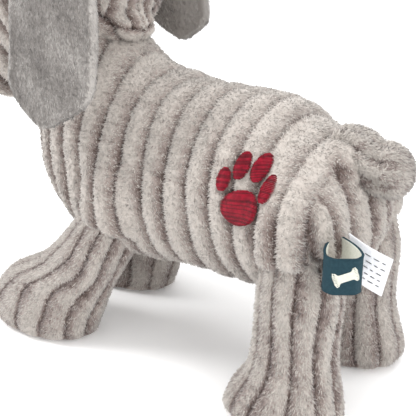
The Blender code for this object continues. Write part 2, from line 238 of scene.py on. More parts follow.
def cloth_material(name, stops, grain):
    """Backing cloth: its colour follows the rib, with painted shade in the grooves and on one side of
    each rib, broken up by fine fibres.
    """
    made = plain(name, (180, 172, 165))
    tree = made.node_tree
    tone = tree.nodes.new("ShaderNodeAttribute")
    tone.attribute_name = "tone"
    fibre = noise(tree, grain, 5.0, 0.4)
    patch = noise(tree, 60.0, 3.0)
    value = math_value(tree, "MULTIPLY_ADD", fibre, 0.55, tone.outputs["Fac"])
    value = math_value(tree, "MULTIPLY_ADD", patch, 0.25, value)
    colour_by(made, math_value(tree, "SUBTRACT", value, 0.4), stops)
    bump(made, fibre, 0.8, 0.0006)
    return made


def thread_material(name, dark, light, scale, roughness=0.45):
    """Shiny thread whose colour wanders between two shades."""
    made = plain(name, dark, roughness, 0.0)
    grain = noise(made.node_tree, scale, 3.0)
    colour_by(made, grain, ((0.3, dark), (0.7, light)))
    bump(made, grain, 0.3, 0.0001)
    return made


def weave_material(name, dark, light):
    """Woven tape: fine level threads, a little uneven."""
    made = plain(name, dark, 0.75, 0.0)
    tree = made.node_tree
    place = tree.nodes.new("ShaderNodeTexCoord")
    threads_across = tree.nodes.new("ShaderNodeTexWave")
    threads_across.bands_direction = "Z"
    threads_across.inputs["Scale"].default_value = 900.0
    threads_across.inputs["Distortion"].default_value = 1.5
    threads_across.inputs["Detail Scale"].default_value = 2.0
    tree.links.new(place.outputs["Object"], threads_across.inputs["Vector"])
    grain = math_value(tree, "MULTIPLY", noise(tree, 1400.0, 3.0), 0.6)
    value = math_value(tree, "MULTIPLY_ADD", threads_across.outputs["Fac"], 0.5, grain)
    colour_by(made, value, ((0.15, dark), (0.85, light)))
    bump(made, value, 0.5, 0.0002)
    return made


# The ribbed plush runs from dark painted shade in the grooves to the pale lit side of each rib.
RIB_STOPS = ((0.0, (48, 36, 31)), (0.3, (98, 83, 77)), (0.6, (138, 126, 120)), (1.0, (178, 170, 163)))
EAR_STOPS = ((0.0, (96, 91, 88)), (0.4, (126, 121, 117)), (0.7, (146, 141, 137)), (1.0, (182, 177, 172)))
ribbed = cloth_material("ribbed_plush", RIB_STOPS, 900.0)
minky = cloth_material("short_pile_plush", EAR_STOPS, 1200.0)
# Tufts from pale to dark, and the tones where one colour gives way to the next; on the ribbed plush the
# darker tufts are painted shade in the grooves and on the shaded side of each rib.
RIB_PILE = [plain("pile_pale", (190, 183, 176)), plain("pile_beige", (164, 154, 148)),
            plain("pile_mauve", (134, 119, 115)), plain("pile_brown", (88, 72, 66))]
EAR_PILE = [plain("minky_pale", (186, 181, 177)), plain("minky_grey", (150, 145, 141)),
            plain("minky_cool", (132, 127, 123)), plain("minky_dark", (108, 103, 100))]
PILE_TONES = (0.72, 0.46, 0.22)
eye_black = thread_material("eye_black", (12, 10, 10), (28, 24, 22), 500.0, 0.12)
nose_thread = thread_material("nose_thread", (26, 22, 22), (52, 46, 44), 900.0)
CRIMSON = [thread_material("crimson_thread", (104, 2, 24), (146, 6, 36), 700.0),
           thread_material("crimson_shade", (76, 1, 16), (112, 4, 26), 700.0)]
teal = weave_material("label_teal", (10, 34, 44), (38, 68, 78))
cream = weave_material("label_cream", (188, 190, 178), (232, 232, 222))
satin_white = weave_material("tag_satin", (226, 228, 234), (250, 250, 252))
ink = plain("tag_ink", (84, 84, 88), 0.7, 0.0)
paper = plain("paper_white", (250, 250, 250), 0.9, 0.0)


# ---- meshes ----------------------------------------------------------------------
def new_object(name, mesh, materials=()):
    for one in materials:
        mesh.materials.append(one)
    made = bpy.data.objects.new(name, mesh)
    bpy.context.scene.collection.objects.link(made)
    return made


def quick_mesh(name, points, faces, materials, index=None, normals=None):
    """A mesh object from millimetre points and equal-sided faces, written in one go."""
    faces = np.asarray(faces, np.int32)
    count, sides = faces.shape
    mesh = bpy.data.meshes.new(name)
    mesh.vertices.add(len(points))
    mesh.vertices.foreach_set("co", (np.asarray(points) * MM).astype(np.float32).ravel())
    mesh.loops.add(count * sides)
    mesh.loops.foreach_set("vertex_index", faces.ravel())
    mesh.polygons.add(count)
    mesh.polygons.foreach_set("loop_start", np.arange(0, count * sides, sides, dtype=np.int32))
    mesh.update(calc_edges=True)
    made = new_object(name, mesh, materials)
    if index is not None:
        mesh.polygons.foreach_set("material_index", np.asarray(index, np.int32))
    mesh.shade_smooth()
    if normals is not None:
        mesh.normals_split_custom_set_from_vertices(normals.tolist())
    return made


def mixed_mesh(name, points, faces, materials, index=None):
    """A mesh object from millimetre points and faces of any number of sides."""
    mesh = bpy.data.meshes.new(name)
    mesh.from_pydata((points * MM).tolist(), [], faces)
    made = new_object(name, mesh, materials)
    if index is not None:
        mesh.polygons.foreach_set("material_index", np.array(index, np.int32))
    mesh.shade_smooth()
    return made


def smooth_rows(stations, rows):
    """Read a smooth curve through given stations (Catmull-Rom)."""
    table = np.array(stations, float)
    ends = np.vstack([2 * table[0] - table[1], table, 2 * table[-1] - table[-2]])
    out = []
    for place in np.linspace(0.0, len(table) - 1.0, rows):
        k = min(int(place), len(table) - 2)
        t = place - k
        a, b, c, d = ends[k:k + 4]
        out.append(0.5 * (2 * b + (c - a) * t + (2 * a - 5 * b + 4 * c - d) * t * t
                          + (3 * b - a - 3 * c + d) * t ** 3))
    return np.array(out)


def signed_power(value, power):
    return np.sign(value) * np.abs(value) ** power


def turns(around):
    return 2 * np.pi * (np.arange(around) + 0.5) / around


def section_ring(row, around=48, forward=0.0, factor=1.0):
    """One leaning section, whose lower half may be squarer than its upper half."""
    y, z, half_x, half_n, lean, square = row
    lean = math.radians(lean)
    along = np.array([0.0, -math.cos(lean), math.sin(lean)])
    up = np.array([0.0, math.sin(lean), math.cos(lean)])
    turn = turns(around)
    power = np.where(np.sin(turn) < 0, 2.0 / square, 1.0)
    x = signed_power(np.cos(turn), power) * half_x * factor
    n = signed_power(np.sin(turn), power) * half_n * factor
    centre = np.array([0.0, y, z]) + along * forward
    return centre + x[:, None] * np.array([1.0, 0, 0]) + n[:, None] * up


def closed_skin(rings):
    """Points and faces of a closed shape through rings of equal length."""
    count = len(rings[0])
    points = [p for ring in rings for p in ring]
    faces = []
    for row in range(len(rings) - 1):
        for k in range(count):
            a = row * count + k
            b = row * count + (k + 1) % count
            faces.append((a, b, b + count, a + count))
    for start, flip in ((0, True), ((len(rings) - 1) * count, False)):
        middle = len(points)
        points.append(np.mean(points[start:start + count], axis=0))
        for k in range(count):
            a = start + k
            b = start + (k + 1) % count
            faces.append((b, a, middle) if flip else (a, b, middle))
    return np.array(points), faces


def lofted(stations, rows, cap_start=None, cap_end=None):
    """A shape through leaning sections, with rounded ends where a cap depth is given."""
    table = smooth_rows(stations, rows)
    reaches = np.sin(np.linspace(0.12, 0.98, 8) * np.pi / 2)
    rings = [section_ring(row) for row in table]

    def cap(row, depth):
        return [section_ring(row, forward=depth * s, factor=math.sqrt(1 - s * s)) for s in reaches]

    if cap_start:
        rings = cap(table[0], -cap_start)[::-1] + rings
    if cap_end:
        rings += cap(table[-1], cap_end)
    return closed_skin(rings)


def leg_shape(stations, side, rows=24, around=40):
    rings = []
    turn = turns(around)
    for height, out, y, half_y, half_x in smooth_rows(stations, rows):
        rings.append(np.stack([side * (out + half_x * np.cos(turn)), y + half_y * np.sin(turn),
                               np.full(around, max(height, 0.0))], -1))
    return closed_skin(rings)


def pod(centre, radii, square=2.0, tilt=0.0, drop=None, rows=24, around=32):
    """A round lump.  Below its middle it is drop deep and squarer; tilt turns it about X."""
    rings = []
    turn = turns(around)
    for v in np.linspace(0.02, 0.98, rows) * np.pi:
        below = math.cos(v) < 0
        power = 2.0 / square if below else 1.0
        deep = drop if below and drop else radii[2]
        wide = math.sin(v) ** power
        tall = signed_power(np.cos(v), power)
        rings.append(np.stack([radii[0] * wide * np.cos(turn), radii[1] * wide * np.sin(turn),
                               np.full(around, deep * tall)], -1))
    points, faces = closed_skin(rings)
    a = math.radians(tilt)
    y = points[:, 1] * math.cos(a) - points[:, 2] * math.sin(a)
    z = points[:, 1] * math.sin(a) + points[:, 2] * math.cos(a)
    return np.stack([points[:, 0], y, z], -1) + np.asarray(centre, float), faces


def mirrored(shape):
    points, faces = shape
    return points * np.array([-1.0, 1.0, 1.0]), faces


def gathered(shapes):
    """Several shapes as one list of points and one of faces."""
    points, faces = [], []
    start = 0
    for p, f in shapes:
        points.append(p)
        faces += [tuple(start + k for k in face) for face in f]
        start += len(p)
    return np.vstack(points), faces


def evened(name, points, faces, voxel, relax):
    """Remesh a shape evenly and smooth it; returns its points, Blender's normals and quads."""
    mesh = bpy.data.meshes.new(name)
    mesh.from_pydata(points.tolist(), [], faces)
    work = new_object(name, mesh)
    remesh = work.modifiers.new("even", "REMESH")
    remesh.mode = "VOXEL"
    remesh.voxel_size = voxel
    soften = work.modifiers.new("soften", "SMOOTH")
    soften.factor = 0.5
    soften.iterations = relax
    graph = bpy.context.evaluated_depsgraph_get()
    result = bpy.data.meshes.new_from_object(work.evaluated_get(graph), depsgraph=graph)
    bpy.data.objects.remove(work)
    co = np.zeros(len(result.vertices) * 3)
    result.vertices.foreach_get("co", co)
    normal = np.zeros(len(result.vertices) * 3)
    result.vertices.foreach_get("normal", normal)
    quads = np.array([list(p.vertices) for p in result.polygons if len(p.vertices) == 4])
    return co.reshape(-1, 3), normal.reshape(-1, 3), quads


def fuse(name, shapes, relax):
    """Join closed shapes into one even skin; returns its points, outward normals and quads."""
    co, normal, quads = evened(name, *gathered(shapes), VOXEL, relax)
    if np.sum(normal * (co - co.mean(0))) < 0:
        normal, quads = -normal, quads[:, ::-1]
    return co, normal, quads


def new_normals(points, quads):
    """Normals at the points of a skin of quads, worked out from its faces."""
    a, b, c, d = (points[quads[:, k]] for k in range(4))
    face = np.cross(c - a, d - b)
    total = np.zeros_like(points)
    for k in range(4):
        np.add.at(total, quads[:, k], face)
    return total / (np.linalg.norm(total, axis=1)[:, None] + 1e-12)


def slab_faces(rows, columns):
    """Faces of a thin slab: two grids of (rows + 1) x (columns + 1) points, and its rim."""
    width = columns + 1
    total = (rows + 1) * width
    faces = []
    for i in range(rows):
        for j in range(columns):
            a = i * width + j
            b = total + a
            faces.append((a, a + 1, a + 1 + width, a + width))
            faces.append((b, b + width, b + 1 + width, b + 1))
    border = [(0, j) for j in range(columns)]
    border += [(i, columns) for i in range(rows)]
    border += [(rows, j) for j in range(columns, 0, -1)]
    border += [(i, 0) for i in range(rows, 0, -1)]
    for k, (i, j) in enumerate(border):
        next_i, next_j = border[(k + 1) % len(border)]
        a = i * width + j
        b = next_i * width + next_j
        faces.append((b, a, total + a, total + b))
    return np.array(faces)


# ---- ribs ------------------------------------------------------------------------
# Below, p is the smooth fused form with normals n, f the place across the ribs counted
# in ribs, and q the cloth once its ribs and seams are pressed into the form.


def wave(points, scale, seed, terms=7):
    """Smooth random numbers in space, about -1 to 1."""
    rng = np.random.default_rng(seed)
    total = np.zeros(len(points))
    for _ in range(terms):
        direction = rng.normal(size=3)
        direction /= np.linalg.norm(direction)
        phase = points @ direction * (2 * np.pi / scale) * rng.uniform(0.6, 1.6)
        total += np.sin(phase + rng.uniform(0, 6.3))
    return total / math.sqrt(terms / 2.0) * 0.7


def rib_profile(f):
    """Height across a rib: 0 in the groove, 1 on the round crest."""
    t = f - np.floor(f)
    return (1.0 - np.abs(2 * t - 1) ** 2.4) ** 0.75


def rib_painted_shade(f):
    """Painted shade across a rib: dark in the groove, pale just past it on the side the light falls on,
    browner towards the next groove on the side in shade.
    """
    t = f - np.floor(f)
    rise = np.clip(t / 0.16, 0, 1)
    fall = np.clip((1.0 - t) / 0.5, 0, 1)
    return 0.05 + 0.95 * (rise * rise * (3 - 2 * rise)) * (0.30 + 0.70 * fall)


def oval(p, middle_z, half_x, half_z, outside):
    """Millimetres inside an oval panel seen along Y, and far outside it on other cloth."""
    share = 1.0 - np.hypot(p[:, 0] / half_x, (p[:, 2] - middle_z) / half_z)
    return np.where(outside, -20.0, share * min(half_x, half_z))


def comb(p, seed):
    """Fine strokes brushed across the ribs, strongest high on the flank."""
    strokes = wave(p * np.array([0.35, 0.2, 1.0]), 2.7, seed, 9)
    return strokes * np.clip((p[:, 2] - 50.0) / 30.0, 0.3, 1.0)


def gradient(normals, vector):
    """A direction in space laid flat on the skin."""
    flat = vector - np.sum(normals * vector, 1)[:, None] * normals
    return flat / (np.linalg.norm(flat, axis=1)[:, None] + 1e-6)


def off_the_crest(f, normals):
    """Along Y, from the crest of a level rib down to the groove on either side."""
    t = f - np.floor(f)
    return gradient(normals, np.array([0.0, 1.0, 0.0])) * np.clip((t - 0.5) * 3.0, -1, 1)[:, None]


def give_tone(obj, tone):
    attribute = obj.data.attributes.new("tone", "FLOAT", "POINT")
    attribute.data.foreach_set("value", tone.astype(np.float32))


# ---- pile ------------------------------------------------------------------------
# What pile grows on: points, their normals, quads, and the lean and the tone at each point.
Skin = namedtuple("Skin", "points normals quads lean tone")


def scatter(skin, count, seed, keep=None):
    """Even random places on a skin: point, normal, the quad's corners and their weights."""
    rng = np.random.default_rng(seed)
    quads = skin.quads
    a, b, c, d = (skin.points[quads[:, k]] for k in range(4))
    area = 0.5 * np.linalg.norm(np.cross(c - a, d - b), axis=1)
    if keep is not None:
        area = area * keep[quads].mean(1)
    pick = rng.choice(len(quads), size=count, p=area / area.sum())
    u = rng.random(count)
    v = rng.random(count)
    weights = np.stack([(1 - u) * (1 - v), u * (1 - v), u * v, (1 - u) * v], -1)
    corner = quads[pick]
    place = np.einsum("ij,ijk->ik", weights, skin.points[corner])
    normal = np.einsum("ij,ijk->ik", weights, skin.normals[corner])
    normal /= np.linalg.norm(normal, axis=1)[:, None]
    return place, normal, corner, weights


def tufts(name, place, normal, lean, tone, materials, seed,
          length, width, stand=0.6, loose=0.5, strokes=0.16):
    """Small tapering tufts, each a closed spike of four faces, in light and dark strokes."""
    rng = np.random.default_rng(seed)
    count = len(place)
    way = lean + loose * rng.normal(size=(count, 3))
    way -= np.sum(way * normal, 1)[:, None] * normal
    way /= np.linalg.norm(way, axis=1)[:, None] + 1e-9
    across = np.cross(normal, way)
    size = length * rng.uniform(0.65, 1.3, count)
    rise = stand * rng.uniform(0.6, 1.4, count)
    reach = size[:, None] * (way + normal * rise[:, None]) / np.sqrt(1 + rise ** 2)[:, None]
    thick = width * rng.uniform(0.75, 1.3, count)[:, None]
    root = place - normal * 0.25
    right = root + across * thick + way * 0.1
    left = root - across * thick + way * 0.1
    back = root - way * thick * 0.8 + normal * 0.1
    corners = np.stack([right, left, back, place + reach], 1).reshape(-1, 3)
    spike = np.array([[0, 1, 2], [1, 0, 3], [2, 1, 3], [0, 2, 3]])
    one = corners[:4]
    volume = np.dot(np.cross(one[0] - one[3], one[1] - one[3]), one[2] - one[3])
    if volume < 0:
        spike = spike[:, ::-1]
    faces = (4 * np.arange(count)[:, None, None] + spike).reshape(-1, 3)
    # Darker tufts go where the tone holds painted shade, with random differences on top.
    level = tone + rng.normal(scale=0.15, size=count)
    level += strokes * wave(place * np.array([0.3, 0.3, 1.0]), 1.5, seed)
    index = np.digitize(-level, -np.array(PILE_TONES))
    shading = normal + 0.35 * rng.normal(size=(count, 3)) + 0.25 * way
    shading /= np.linalg.norm(shading, axis=1)[:, None]
    return quick_mesh(name, corners, faces, materials, np.repeat(index, 4), np.repeat(shading, 4, 0))


def grow_pile(name, skin, count, seeds, length, width, keep=None, materials=RIB_PILE, **style):
    """Tufts all over a skin, each with the lean and the tone found under it.

    The first seed is for where the tufts stand, the second for their shapes.
    """
    place, normal, corner, weights = scatter(skin, int(count * SHARE), seeds[0], keep)
    lean = np.einsum("ij,ijk->ik", weights, skin.lean[corner])
    tone = np.einsum("ij,ij->i", weights, skin.tone[corner])
    return tufts(name, place, normal, lean, tone, materials, seeds[1], length, width, **style)


# ---- body ------------------------------------------------------------------------
def past_rump_seam(p):
    """Millimetres behind the rump seam, where a rear panel with upright ribs is sewn on."""
    return p[:, 1] - (83.5 - 0.22 * (p[:, 2] - 70.0))


def make_body():
    """The body's cover; returns it, its fused form and the skin that the pile grows on."""
    shoulder = pod((21.5, -3.0, 65.0), (17.3, 18.5, 26.0), 4.5, tilt=-17.0, drop=12.5)
    haunch = pod((20.5, 70.0, 71.0), (19.4, 18.0, 19.5), 5.0, tilt=10.0, drop=12.8)
    rump = pod((0.0, 62.0, 70.0), (37.0, 29.5, 28.5))
    tail_root = pod((0.0, 75.5, 87.5), (17.0, 12.5, 11.0))
    trunk = lofted(TORSO, 40, cap_start=13.0, cap_end=4.0)
    shapes = [trunk, haunch, mirrored(haunch), shoulder, mirrored(shoulder), rump, tail_root]
    p, n, quads = fuse("body", shapes, 14)

    level = (p[:, 1] - GROOVE_AT + 0.8 * wave(p, 60.0, 3) + 0.04 * (p[:, 2] - 77.0)) / PITCH
    upright = p[:, 0] / BODY_UPRIGHT_PITCH + 0.5 + 0.10 * wave(p, 30.0, 4)
    chest = oval(p, 82.0, 21.0, 26.0, p[:, 1] > -22.0)
    panel = np.maximum(past_rump_seam(p), chest)
    f = np.where(panel > 0, upright, level)
    # The seams fade out towards the tail, and ribs are lower on the panels.
    seam = np.exp(-(panel / 1.5) ** 2) * np.clip((91.0 - p[:, 2]) / 14.0, 0, 1)
    height = rib_profile(f)
    height = np.where(panel > 0, 0.3 + 0.7 * height, height) * (1.0 - 0.9 * seam)
    # Ribs lie flatter on the back, where painted light makes them paler, and painted shade darkens the
    # belly.
    on_back = np.clip((n[:, 2] - 0.35) / 0.5, 0, 1)
    brushed = comb(p, 7)
    # Painted shade across each rib, with random tone and comb strokes on top.
    tone = rib_painted_shade(f) + 0.10 * wave(p, 18.0, 5) + 0.09 * brushed
    tone *= 1.0 - 0.6 * seam
    tone = tone * (1 - 0.5 * on_back) + 0.5 * on_back * 1.05
    tone = np.where(p[:, 2] < 44, tone * 0.85, tone)
    lift = RIB * (1.0 - 0.45 * on_back) * (height - 1.0) - PILE
    lift += 0.5 * wave(p, 34.0, 6) - 1.2 * seam + 0.16 * brushed
    q = p + n * lift[:, None]
    cover = quick_mesh("body_cover", q, quads, [ribbed])
    give_tone(cover, tone)
    down = gradient(n, np.array([0.0, 0.35, -1.0]))
    lean = np.where((panel > 0)[:, None], down, off_the_crest(f, n) + down * 0.45)
    return cover, p, Skin(q, new_normals(q, quads), quads, lean, tone)


def in_motif(p):
    """1 under the embroidery, where no pile grows, and 0 elsewhere."""
    out = np.zeros(len(p))
    for _, y, z, half_y, half_z in MOTIF:
        near = ((p[:, 1] - y) / (half_y + 0.3)) ** 2 + ((p[:, 2] - z) / (half_z + 0.3)) ** 2
        out = np.maximum(out, (near < 1.0) & (p[:, 0] > 0))
    return out


def bend_neck(piece):
    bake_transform(piece)


body_cover, body_form, body_skin = make_body()
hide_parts("body_cover_left", "body_cover_right", "body_stuffing", "neck_stuffing")
bend_neck(body_cover)

inside_head = np.sum((body_form - NECK) * NECK_ALONG, 1) > 14.0
open_cloth = (1.0 - in_motif(body_form)) * ~inside_head
for side, word in ((1, "left"), (-1, "right")):
    this_half = open_cloth * (side * body_skin.points[:, 0] >= -0.5)
    body_pile = grow_pile("body_pile_" + word, body_skin, 49000, (11 + side, 21 + side),
                          1.25, 0.24, this_half)
    bend_neck(body_pile)


# ---- legs ------------------------------------------------------------------------
def make_leg(word, side, stations, ribs, tilt):
    """A leg's skin with ribs that run down it and fan out over the foot."""
    p, n, quads = fuse(word, [leg_shape(stations, side)], 6)
    table = smooth_rows(stations, 60)[::-1]
    at_height = [np.interp(p[:, 2], table[:, 0], table[:, k]) for k in range(1, 5)]
    middle_x, middle_y, half_y, half_x = at_height
    angle = np.arctan2((p[:, 1] - middle_y) / half_y, (p[:, 0] - side * middle_x) / half_x)
    f = ribs * angle / (2 * np.pi) + 0.12 * wave(p, 30.0, 31) + 0.3
    # Painted shade across each rib, as on the body, turned the other way on the left legs.
    tone = 0.84 * rib_painted_shade(-f if side > 0 else f) + 0.02
    tone += 0.10 * wave(p, 16.0, 32) + 0.04 * wave(p, 3.2, 33)
    above_sole = np.clip(p[:, 2] / 3.0, 0, 1)
    lift = (LEG_RIB * (rib_profile(f) - 1.0) - PILE) * above_sole
    q = p + n * lift[:, None]
    q[:, 2] = np.maximum(q[:, 2], 0.05)
    cover = quick_mesh("leg_skin_" + word, q, quads, [ribbed])
    give_tone(cover, tone)
    lean = gradient(n, np.array([0.0, tilt, -1.0]))
    keep = (p[:, 2] > 2.5).astype(float)
    skin = Skin(q, new_normals(q, quads), quads, lean, tone)
    leg_pile = grow_pile("leg_pile_" + word, skin, 24000, (41 + side, 51 + side), 1.3, 0.25, keep)
    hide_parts("leg_cover_" + word, "leg_stuffing_" + word)
    for piece in (cover, leg_pile):
        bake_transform(piece)


for side, word in ((1, "left"), (-1, "right")):
    make_leg("hind_" + word, side, HIND_LEG, HIND_RIBS, 0.0)
    make_leg("front_" + word, side, FRONT_LEG, FRONT_RIBS, -0.6)


# ---- tail ------------------------------------------------------------------------
def make_tail():
    """Ribs along the tail, and a fluffy tip without ribs."""
    p, n, quads = fuse("tail", [lofted(TAIL, 14, cap_end=9.0)], 8)
    middle_z = np.interp(p[:, 1], [row[0] for row in TAIL], [row[1] for row in TAIL])
    turn = np.arctan2(p[:, 2] - middle_z, p[:, 0])
    f = TAIL_RIBS * turn / (2 * np.pi) + 0.3 + 0.05 * wave(p, 20.0, 61)
    tip = np.clip((p[:, 1] - 91.0) / 6.0, 0, 1)
    height = rib_profile(f) * (1 - tip) + 0.9 * tip
    # Painted shade across each rib, but not on the fluffy tip.
    tone = (0.35 + 0.65 * rib_painted_shade(f)) * (1 - tip) + 0.8 * tip + 0.18 * wave(p, 6.0, 62)
    q = p + n * (LEG_RIB * (height - 1.0) - PILE)[:, None]
    cover = quick_mesh("tail_skin", q, quads, [ribbed])
    give_tone(cover, tone)
    lean = gradient(n, np.array([0.0, 1.0, -0.3]))
    keep = (p[:, 1] > 72.5).astype(float)
    skin = Skin(q, new_normals(q, quads), quads, lean, tone)
    tail_pile = grow_pile("tail_pile", skin, 9000, (63, 64), 1.6, 0.26, keep, stand=0.7, loose=0.6)
    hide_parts("tail_cover", "tail_stuffing")
    for piece in (cover, tail_pile):
        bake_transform(piece)


make_tail()


# ---- head ------------------------------------------------------------------------
def make_head():
    """Level ribs round the head, upright ones on the nape and muzzle, a seam in the middle."""
    skull = lofted(HEAD, 30, cap_start=15.0, cap_end=12.0)
    nape_root = pod((0.0, -15.5, 123.0), (13.0, 9.0, 8.0))
    jowl = pod((15.0, -84.0, 100.0), (12.5, 11.0, 11.0))
    p, n, quads = fuse("head", [skull, nape_root, jowl, mirrored(jowl)], 12)
    level = (p[:, 1] - GROOVE_AT + 0.10 * (p[:, 2] - 132.0) + 0.8 * wave(p, 60.0, 71)) / PITCH
    upright = p[:, 0] / UPRIGHT_PITCH + 0.5 + 0.12 * wave(p, 40.0, 76)
    nape = oval(p, 143.0, 22.0, 21.0, p[:, 1] < -30.0)
    muzzle = oval(p, 104.0, 24.0, 17.0, p[:, 1] > -76.0)
    panel = np.maximum(nape, muzzle)
    f = np.where(panel > 0, upright, level)
    brushed = comb(p, 75)
    middle = np.exp(-(p[:, 0] / 0.9) ** 2)
    seam = np.exp(-(panel / 1.2) ** 2)
    # Painted shade across each rib, as on the body.
    tone = rib_painted_shade(f) + 0.10 * wave(p, 18.0, 72) + 0.09 * brushed
    tone *= 1.0 - 0.6 * seam
    lift = RIB * (rib_profile(f) - 1.0) * (1 - 0.8 * middle) - PILE
    lift += 0.16 * brushed - 0.9 * np.maximum(middle, seam)
    q = p + n * lift[:, None]
    cover = quick_mesh("head_skin", q, quads, [ribbed])
    give_tone(cover, tone * (1 - 0.5 * middle))
    lean = off_the_crest(f, n) + gradient(n, np.array([0.0, 0.3, -1.0])) * 0.4
    skin = Skin(q, new_normals(q, quads), quads, lean, tone)
    head_pile = grow_pile("head_pile", skin, 42000, (73, 74), 1.3, 0.25)
    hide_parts("head_cover_left", "head_cover_right", "head_stuffing")
    for piece in (cover, head_pile):
        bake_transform(piece)


make_head()


# ---- ears ------------------------------------------------------------------------
def ear_shape(table, length, side):
    """Points of a flat double layer with a rolled rim, hanging from the seam at its top."""
    rows, columns = 60, 30
    folded = side < 0       # the right ear is folded forwards
    points = []
    for depth in (1.0, -1.0):
        for i in range(rows + 1):
            t = i / rows
            down = length * t
            middle_y, half = (float(np.interp(t, table[:, 0], table[:, k])) for k in (1, 2))
            past = max(0.0, (t - ROUND_END) / ROUND_SHARE)
            half *= math.sqrt(max(1.0 - past ** 2.2, 0.0))
            bend = EAR_HANG * (1.0 - math.exp(-down / EAR_HANG))
            x = EAR_ROOT_X + bend + (6.0 if folded else 3.0) * t * t
            z = EAR_ROOT_Z - down + 0.42 * bend
            for j in range(columns + 1):
                s = 2.0 * j / columns - 1.0
                to_rim = math.hypot(s, past)
                rolled = 1.15 + 0.75 * math.exp(-((to_rim - 0.9) / 0.07) ** 2)
                thick = rolled * math.sqrt(max(1.0 - max(0.0, (to_rim - 0.9) / 0.1) ** 2, 0.0))
                curl = 1.4 * (1 - s * s) + (4.5 * max(0.0, s) ** 2 * t if folded else 0.0)
                points.append((side * (x + curl + depth * thick), middle_y + s * half, z))
    return np.array(points), slab_faces(rows, columns).tolist()


def make_ear(word, side):
    table = smooth_rows(EAR_OUTLINE[word], 41)
    p, _, quads = evened("ear", *ear_shape(table, EAR_LENGTH[word], side), EAR_VOXEL, 2)
    n = new_normals(p, quads)
    a, b, c, d = (p[quads[:, k]] for k in range(4))
    volume = np.sum(np.cross(c - a, d - b) * (a + b + c + d))
    if volume < 0:
        n, quads = -n, quads[:, ::-1]
    t = (163.0 - p[:, 2]) / EAR_LENGTH[word]
    middle_y, half = (np.interp(t, table[:, 0], table[:, k]) for k in (1, 2))
    to_rim = np.hypot((p[:, 1] - middle_y) / half, np.maximum(0.0, (t - ROUND_END) / ROUND_SHARE))
    rim = np.clip((to_rim - 0.88) / 0.06, 0, 1)
    tone = 0.5 + 0.15 * wave(p, 14.0, 83) + 0.08 * wave(p, 3.5, 82) + 0.45 * rim
    # Painted light: the right ear is paler towards its rear and darker at its front, which is in shade.
    if side < 0:
        tone += 0.8 * np.clip((p[:, 1] + 36.0) / 14.0, 0, 1)
    ear = quick_mesh("ear_skin_" + word, p, quads, [minky])
    give_tone(ear, tone)
    lean = gradient(n, np.array([0.0, 0.6, -1.0]))
    ear_pile = grow_pile("ear_pile_" + word, Skin(p, n, quads, lean, tone), 26000,
                         (84 + side, 86 + side), 1.5, 0.18, materials=EAR_PILE,
                         stand=0.28, loose=0.3, strokes=0.05)
    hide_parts("ear_outer_" + word, "ear_lining_" + word)
    for piece in (ear, ear_pile):
        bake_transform(piece)


for side, word in ((1, "left"), (-1, "right")):
    make_ear(word, side)


# ---- threads ---------------------------------------------------------------------
def tube(path, radius, sides):
    """Points and faces of a thread that follows a path and tapers at its ends."""
    path = np.asarray(path, float)
    ahead = np.gradient(path, axis=0)
    ahead /= np.linalg.norm(ahead, axis=1)[:, None] + 1e-9
    side = np.cross(ahead, np.array([0.3, 0.5, 0.81]))
    side /= np.linalg.norm(side, axis=1)[:, None] + 1e-9
    up = np.cross(side, ahead)
    turn = 2 * np.pi * np.arange(sides) / sides
    rings = []
    for k in range(len(path)):
        r = radius * (0.45 if k in (0, len(path) - 1) else 1.0)
        rings.append(path[k] + r * (np.cos(turn)[:, None] * side[k] + np.sin(turn)[:, None] * up[k]))
    return closed_skin(rings)


def threads(name, paths, radius, materials, index=None, sides=6):
    """Many separate threads in one mesh; index picks each thread's material."""
    tubes = [tube(path, radius, sides) for path in paths]
    slots = np.repeat(index or [0] * len(paths), [len(faces) for _, faces in tubes])
    return mixed_mesh(name, *gathered(tubes), materials, slots)


# ---- face ------------------------------------------------------------------------
def middle_of(node):
    """The middle of a CAD node's box, in millimetres."""
    low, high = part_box(node)
    return (np.array(low) + np.array(high)) / 2 / MM


def bead(name, centre, radii, material):
    return mixed_mesh(name, *pod(centre, radii, rows=20, around=28), [material])


for side, word in ((1, "left"), (-1, "right")):
    eye_at = middle_of("eye_" + word) + np.array([-0.3 * side, 0.3, 0.0])
    eye = bead("eye_bead_" + word, eye_at, (3.7, 3.7, 3.7), eye_black)
    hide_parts("eye_" + word)
    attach(eye, "head")


def nose_stitches(middle):
    """Upright stitches side by side over a rounded nose."""
    paths = []
    for k in range(25):
        u = (k - 12) / 12.5
        tall = 5.6 * math.sqrt(1 - u * u) * (1.0 if u * u < 0.9 else 0.8)
        path = []
        for v in np.linspace(-1, 1, 9):
            bulge = 3.6 * math.sqrt(max(0.0, 1 - 0.72 * u * u - 0.72 * v * v))
            path.append(middle + np.array([8.0 * u, 1.4 - bulge, tall * v]))
        paths.append(path)
    return paths


nose_at = middle_of("nose_patch")
nose = threads("nose_stitches", nose_stitches(nose_at), 0.52, [nose_thread])
nose_pad = bead("nose_pad", nose_at + np.array([0.0, 2.4, 0.0]), (8.0, 4.2, 5.8), nose_thread)
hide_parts("nose_patch")
for piece in (nose, nose_pad):
    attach(piece, "head")


# ---- embroidery ------------------------------------------------------------------
body_tree = BVHTree.FromPolygons([Vector(v) for v in body_form], body_skin.quads.tolist())


def on_body(y, z, lift):
    """A point over the body's left flank."""
    place, normal, _, _ = body_tree.ray_cast(Vector((80.0, y, z)), Vector((-1.0, 0.0, 0.0)))
    return np.array(place) + np.array(normal) * lift


